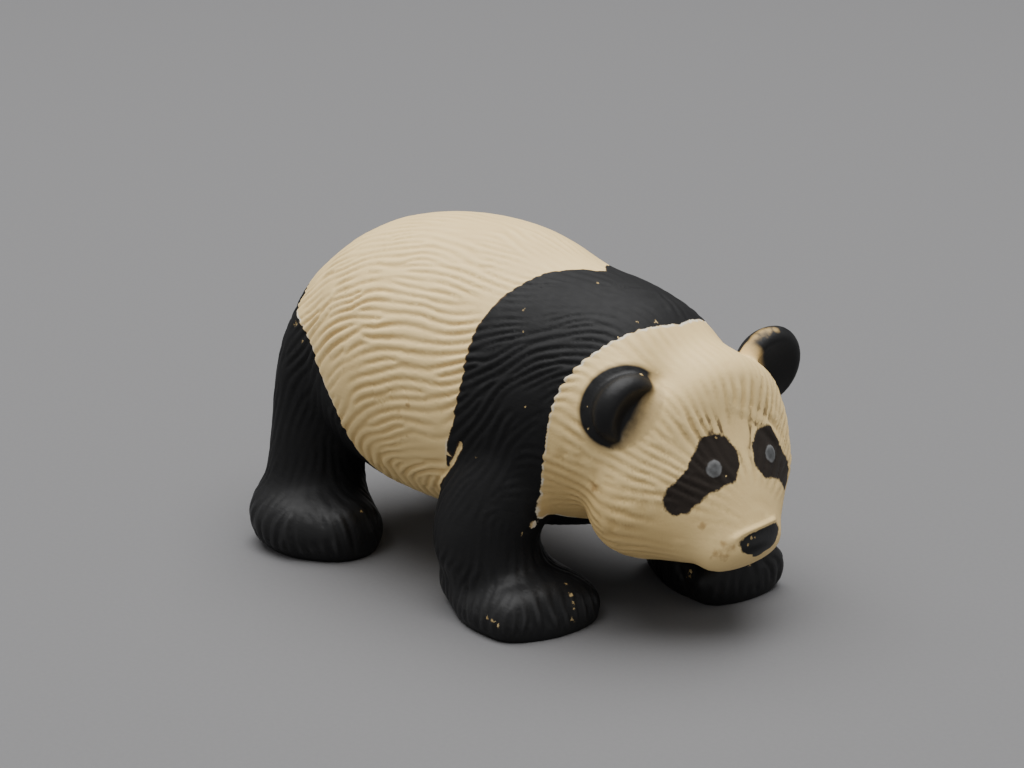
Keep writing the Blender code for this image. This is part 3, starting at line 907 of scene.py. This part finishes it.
def painted_plastic(colours, skin, middle):
    """Cream plastic under brushed black paint, worn at places on the skin, with painted shade in the
    grooves and on the lower face, and painted sheen and a highlight on the black.
    """
    material = bpy.data.materials.new("painted_plastic")
    n = Nodes(material)
    fur = n.attribute("fur")
    wobble = n.math("SUBTRACT", n.noise(0.0011, 4), 0.5)
    fine = n.math("SUBTRACT", n.noise(0.00035, 2), 0.5)
    ragged = n.math("ADD", n.math("MULTIPLY", wobble, 1.3), n.math("MULTIPLY", fine, 0.6))
    brushed = n.math("ADD", ragged, n.math("MULTIPLY", fur, 0.1))

    # Painted shade with some dirt wash: the cream darkens towards the deep cream in the grooves of the
    # fur, more in cloudy patches
    groove = n.step(fur, 0.75, -0.75)
    cloud = n.noise(0.009, 3)
    shade = n.math("MULTIPLY", groove, n.step(cloud, 0.3, 0.7, 0.3, 0.65))
    cream = n.mix(shade, colours.cream, colours.cream_deep)
    cream = n.mix(n.step(n.noise(0.0023, 5, 0.65), 0.62, 0.80, 0.0, 0.28), cream, colours.cream_deep)
    # Painted shade: the cheeks and the chin are darkened towards the deep cream
    cream = n.mix(n.math("MULTIPLY", n.attribute("lower_face_shade"), 0.5), cream, colours.cream_deep)
    stained = n.near(on_skin(skin, STAINS), middle, n.math("MULTIPLY", wobble, 3.0), 1.0)
    cream = n.mix(n.math("MULTIPLY", stained, 0.6), cream, colours.stain)
    broken = n.step(n.noise(0.0011, 4), 0.4, 0.58, 0.15, 0.85)
    hairs = n.math("MULTIPLY", n.step(fur, -0.04, -0.22), broken)
    cream = n.mix(n.math("MULTIPLY", n.attribute("brow"), hairs), cream, colours.edge)

    # Lighter grey on the crests of the black, strongest on paws, ears and nose: rubbed paint and painted
    # sheen
    crest_wear_and_sheen = n.math("MULTIPLY", n.step(fur, 0.1, 1.0), n.step(n.noise(0.004, 4), 0.35, 0.65))
    crest_wear_and_sheen = n.math("MULTIPLY", crest_wear_and_sheen, n.step(n.attribute("gloss"), 0.0, 1.0, 0.5, 1.0))
    black = n.mix(crest_wear_and_sheen, colours.black, colours.black_wear_and_sheen)

    body = n.math("ADD", n.attribute("black"), n.math("MULTIPLY", brushed, 0.42))
    pale = n.attribute("pale")
    bare = n.math("MULTIPLY", n.step(body, -0.5, -0.15), n.step(n.noise(0.0012, 3), 0.4, 0.6, 0.1, 0.9))
    cream = n.mix(n.math("MULTIPLY", bare, pale), cream, colours.bare)
    coat = n.mix(n.step(body, -0.08, 0.08), cream, black)
    thin = n.math("MULTIPLY", n.step(body, -0.15, 0.0), n.step(body, 0.3, 0.05))
    thin = n.math("MULTIPLY", thin, n.math("SUBTRACT", 1.0, pale))
    thin = n.math("MULTIPLY", thin, n.step(n.noise(0.0015, 3), 0.4, 0.6, 0.2, 0.8))
    coat = n.mix(thin, coat, colours.edge)

    ear = n.math("ADD", n.attribute("ear"), n.math("MULTIPLY", brushed, 0.12))
    coat = n.mix(n.step(ear, -0.9, -0.1, 0.0, 0.45), coat, colours.edge)
    coat = n.mix(n.step(ear, -0.3, 0.3), coat, black)
    patch = n.math("ADD", n.attribute("patch"), n.math("MULTIPLY", brushed, 0.9))
    coat = n.mix(n.step(patch, -0.25, 0.3), coat, colours.patch)
    nose = n.math("ADD", n.attribute("nose"), n.math("MULTIPLY", ragged, 0.35))
    coat = n.mix(n.step(nose, -0.1, 0.1), coat, black)
    dot = n.math("ADD", n.attribute("dot"), n.math("MULTIPLY", ragged, 0.25))
    grey = n.mix(n.step(dot, 0.7, 0.1), colours.dot, colours.dot_rim)
    cover = n.step(n.noise(0.0006, 3), 0.2, 0.6, 0.6, 1.0)
    coat = n.mix(n.math("MULTIPLY", n.step(dot, -0.12, 0.15), cover), coat, grey)

    rubbed = n.near(on_skin(skin, RUBS), middle, n.math("MULTIPLY", wobble, 1.5), 0.9)
    coat = n.mix(n.math("MULTIPLY", rubbed, n.step(fur, -0.6, 0.6, 0.5, 0.9)), coat, colours.cream_deep)
    splinter = n.math("MULTIPLY", n.math("SUBTRACT", n.noise(0.00035, 3, 0.6), 0.44), 5.0)
    # Cream where the black has chipped off, and a painted highlight on the nose
    chips_and_glint = n.near(on_skin(skin, CHIPS_AND_NOSE_GLINT), middle, splinter, 0.4)
    bare_cream_and_glint = n.mix(n.step(n.noise(0.0012, 2), 0.4, 0.6), colours.cream_deep, colours.cream)
    chips_and_glint = n.math("MULTIPLY", chips_and_glint, n.step(n.noise(0.0004, 2), 0.35, 0.6, 0.3, 0.65))
    coat = n.mix(chips_and_glint, coat, bare_cream_and_glint)
    n.feed(n.shader.inputs["Base Color"], coat)

    inside = n.math("MAXIMUM", n.math("MAXIMUM", body, ear), n.math("MAXIMUM", nose, patch))
    painted = n.step(inside, -0.08, 0.08)
    smooth = n.step(n.attribute("gloss"), 0.0, 1.0, 0.62, 0.47)
    rough = n.math("ADD", n.math("MULTIPLY", painted, n.math("SUBTRACT", smooth, 0.6)), 0.6)
    rough = n.math("ADD", rough, n.math("MULTIPLY", wobble, 0.14))
    n.feed(n.shader.inputs["Roughness"], rough)
    shine = n.step(n.attribute("gloss"), 0.0, 1.0, 0.18, 0.24)
    shine = n.math("MAXIMUM", shine, n.step(painted, 0.0, 1.0, 0.25, 0.0))
    n.feed(n.shader.inputs["Specular IOR Level"], shine)

    fine_streaks = n.math("MULTIPLY", n.noise(0.0002, 3, 0.5, 5.0), 0.5)
    streaks = n.math("ADD", n.noise(0.0004, 3, 0.5, 7.0), fine_streaks)
    cloudy = n.math("MULTIPLY", n.noise(0.0006, 4), 0.5)
    grain = n.math("ADD", n.math("MULTIPLY", streaks, 0.7), cloudy)
    bump = n.new("ShaderNodeBump")
    n.feed(bump.inputs["Strength"], 0.5)
    n.feed(bump.inputs["Distance"], 0.00006)
    n.feed(bump.inputs["Height"], grain)
    n.feed(n.shader.inputs["Normal"], bump.outputs["Normal"])
    return material


class PANDA_OT_figurine(bpy.types.Operator):
    """Makes the panda's skin, carves its fur and face, and paints it."""

    bl_idname = "panda.figurine"
    bl_label = "Figurine"

    def execute(self, context):
        sizes = context.scene.panda_sizes
        obj = figurine(sizes.fineness)
        points, normals, triangles = read(obj)
        comb = lie_of_fur(points, normals)
        pitch = sizes.fur_pitch / PART * shown_pitch(points)
        fur = locks(points, triangles, comb, normals, pitch)
        uneven = unevenness(triangles, len(points))
        depth = fur_depth(points, normals) * uneven
        groove = ((1 - fur) / 2) ** GROOVE_POWER
        height = (0.5 * (uneven - 1) - groove) * sizes.fur_depth / PART * depth
        write(obj, points + normals * (height + face_relief(points, sizes))[:, None])
        keep(obj, "fur", fur * depth)
        flatten(obj)
        thin(obj, sizes.triangles)
        points, _, _ = read(obj)
        fur = np.empty(len(points), np.float32)
        obj.data.attributes["fur"].data.foreach_get("value", fur)
        paint = dict(zip(("patch", "dot", "nose", "brow"), face_paint(points)))
        paint["black"], paint["pale"] = body_paint(points, fur)
        paint["ear"] = ear_paint(points)
        paint["gloss"] = gloss(points)
        paint["lower_face_shade"] = lower_face_shade(points)
        for name, values in paint.items():
            keep(obj, name, values)
        middle = stand(obj)
        coat = painted_plastic(context.scene.panda_colours, tree_of(points), middle)
        obj.data.materials.append(coat)
        obj.data.shade_smooth()
        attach(obj, "root")
        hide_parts(NODE)
        return {"FINISHED"}


class PANDA_OT_stage(bpy.types.Operator):
    """Sets the paper ground, the lights and the camera."""

    bl_idname = "panda.stage"
    bl_label = "Stage"

    def execute(self, context):
        scene = context.scene
        ground(scene.panda_colours)
        lights(scene)
        camera(scene)
        return {"FINISHED"}


class PANDA_PT_panel(bpy.types.Panel):
    """Lists the sizes, colours and steps."""

    bl_label = "Panda figurine"
    bl_idname = "PANDA_PT_panel"
    bl_space_type = "VIEW_3D"
    bl_region_type = "UI"
    bl_category = "Panda"

    def draw(self, context):
        for group in (context.scene.panda_sizes, context.scene.panda_colours):
            for name in group.__annotations__:
                self.layout.prop(group, name)
        for step in STEPS:
            self.layout.operator(step.bl_idname)


def ground(colours):
    """A sheet of paper that turns up behind the figure in one wide curve.

    Point (u, v) is at u across and v along a profile: flat, a quarter circle, then upright.
    """
    across = np.linspace(-3, 3, 2)
    bend = np.linspace(0, math.pi / 2, 24)
    back, radius, rise = 1.6, 0.9, 3.0
    along = np.concatenate([[-3.0], back + radius * np.sin(bend), [back + radius]])
    up = np.concatenate([[0.0], radius * (1 - np.cos(bend)), [radius + rise]])
    turn = math.radians(VIEW_AZIMUTH)
    away = np.array([-math.sin(turn), math.cos(turn)])
    right = np.array([math.cos(turn), math.sin(turn)])
    flat = across[None, :, None] * right + along[:, None, None] * away
    points = np.concatenate([flat, np.repeat(up[:, None, None], 2, axis=1)], axis=-1).reshape(-1, 3)
    row = np.arange(len(along) - 1) * 2
    faces = np.stack([row, row + 1, row + 3, row + 2], axis=-1)
    mesh = bpy.data.meshes.new("ground")
    mesh.from_pydata(points.tolist(), [], faces.tolist())
    mesh.shade_smooth()
    obj = bpy.data.objects.new("ground", mesh)
    bpy.context.scene.collection.objects.link(obj)
    material = bpy.data.materials.new("ground_paper")
    n = Nodes(material)
    speck = n.step(n.noise(0.0006, 3), 0.3, 0.7, 0.0, 0.06)
    n.feed(n.shader.inputs["Base Color"], n.mix(speck, colours.ground, (0.22, 0.22, 0.22, 1)))
    n.feed(n.shader.inputs["Roughness"], 0.75)
    mesh.materials.append(material)


def view_frame(azimuth, elevation):
    """Right, up and backward directions of a view."""
    a, e = math.radians(azimuth), math.radians(elevation)
    back = Vector((math.sin(a) * math.cos(e), -math.cos(a) * math.cos(e), math.sin(e)))
    right = Vector((math.cos(a), math.sin(a), 0))
    return right, back.cross(right), back


def camera(scene):
    """Looks at the figure from its right front and a little above."""
    _, _, back = view_frame(VIEW_AZIMUTH, VIEW_ELEVATION)
    data = bpy.data.cameras.new("camera")
    data.sensor_width = SENSOR
    data.lens = FOCAL_PIXELS / IMAGE_WIDTH * SENSOR
    data.clip_start = 0.01
    data.clip_end = 20
    obj = bpy.data.objects.new("camera", data)
    scene.collection.objects.link(obj)
    target = Vector(VIEW_TARGET) * PART
    obj.location = target + back * VIEW_DISTANCE
    obj.rotation_euler = back.to_track_quat("Z", "Y").to_euler()
    scene.camera = obj


def lamp(scene, name, azimuth, elevation, distance, size, watts):
    """A square soft light that looks at the figure from a direction relative to the view."""
    _, _, back = view_frame(VIEW_AZIMUTH + azimuth, elevation)
    data = bpy.data.lights.new(name, "AREA")
    data.size = size
    data.energy = watts
    obj = bpy.data.objects.new(name, data)
    scene.collection.objects.link(obj)
    obj.location = back * distance + Vector((0, 0, 0.02))
    obj.rotation_euler = back.to_track_quat("Z", "Y").to_euler()


def lights(scene):
    """One broad soft light overhead and an even white room."""
    lamp(scene, "overhead", -170, 80, 0.9, 1.1, 20)
    world = bpy.data.worlds.new("room")
    scene.world = world
    world.use_nodes = True
    background = world.node_tree.nodes["Background"]
    background.inputs["Color"].default_value = (1, 1, 1, 1)
    background.inputs["Strength"].default_value = ROOM_LIGHT


STEPS = (PANDA_OT_figurine, PANDA_OT_stage)
CLASSES = (PandaSizes, PandaColours, *STEPS, PANDA_PT_panel)


def register():
    """Adds the classes and the two groups of properties."""
    for part in CLASSES:
        bpy.utils.register_class(part)
    bpy.types.Scene.panda_sizes = PointerProperty(type=PandaSizes)
    bpy.types.Scene.panda_colours = PointerProperty(type=PandaColours)


def unregister():
    """Takes away what register added."""
    del bpy.types.Scene.panda_colours
    del bpy.types.Scene.panda_sizes
    for part in reversed(CLASSES):
        bpy.utils.unregister_class(part)


def main():
    """Builds everything in order."""
    register()
    bpy.ops.panda.figurine()
    bpy.ops.panda.stage()


if __name__ == "__main__":
    main()
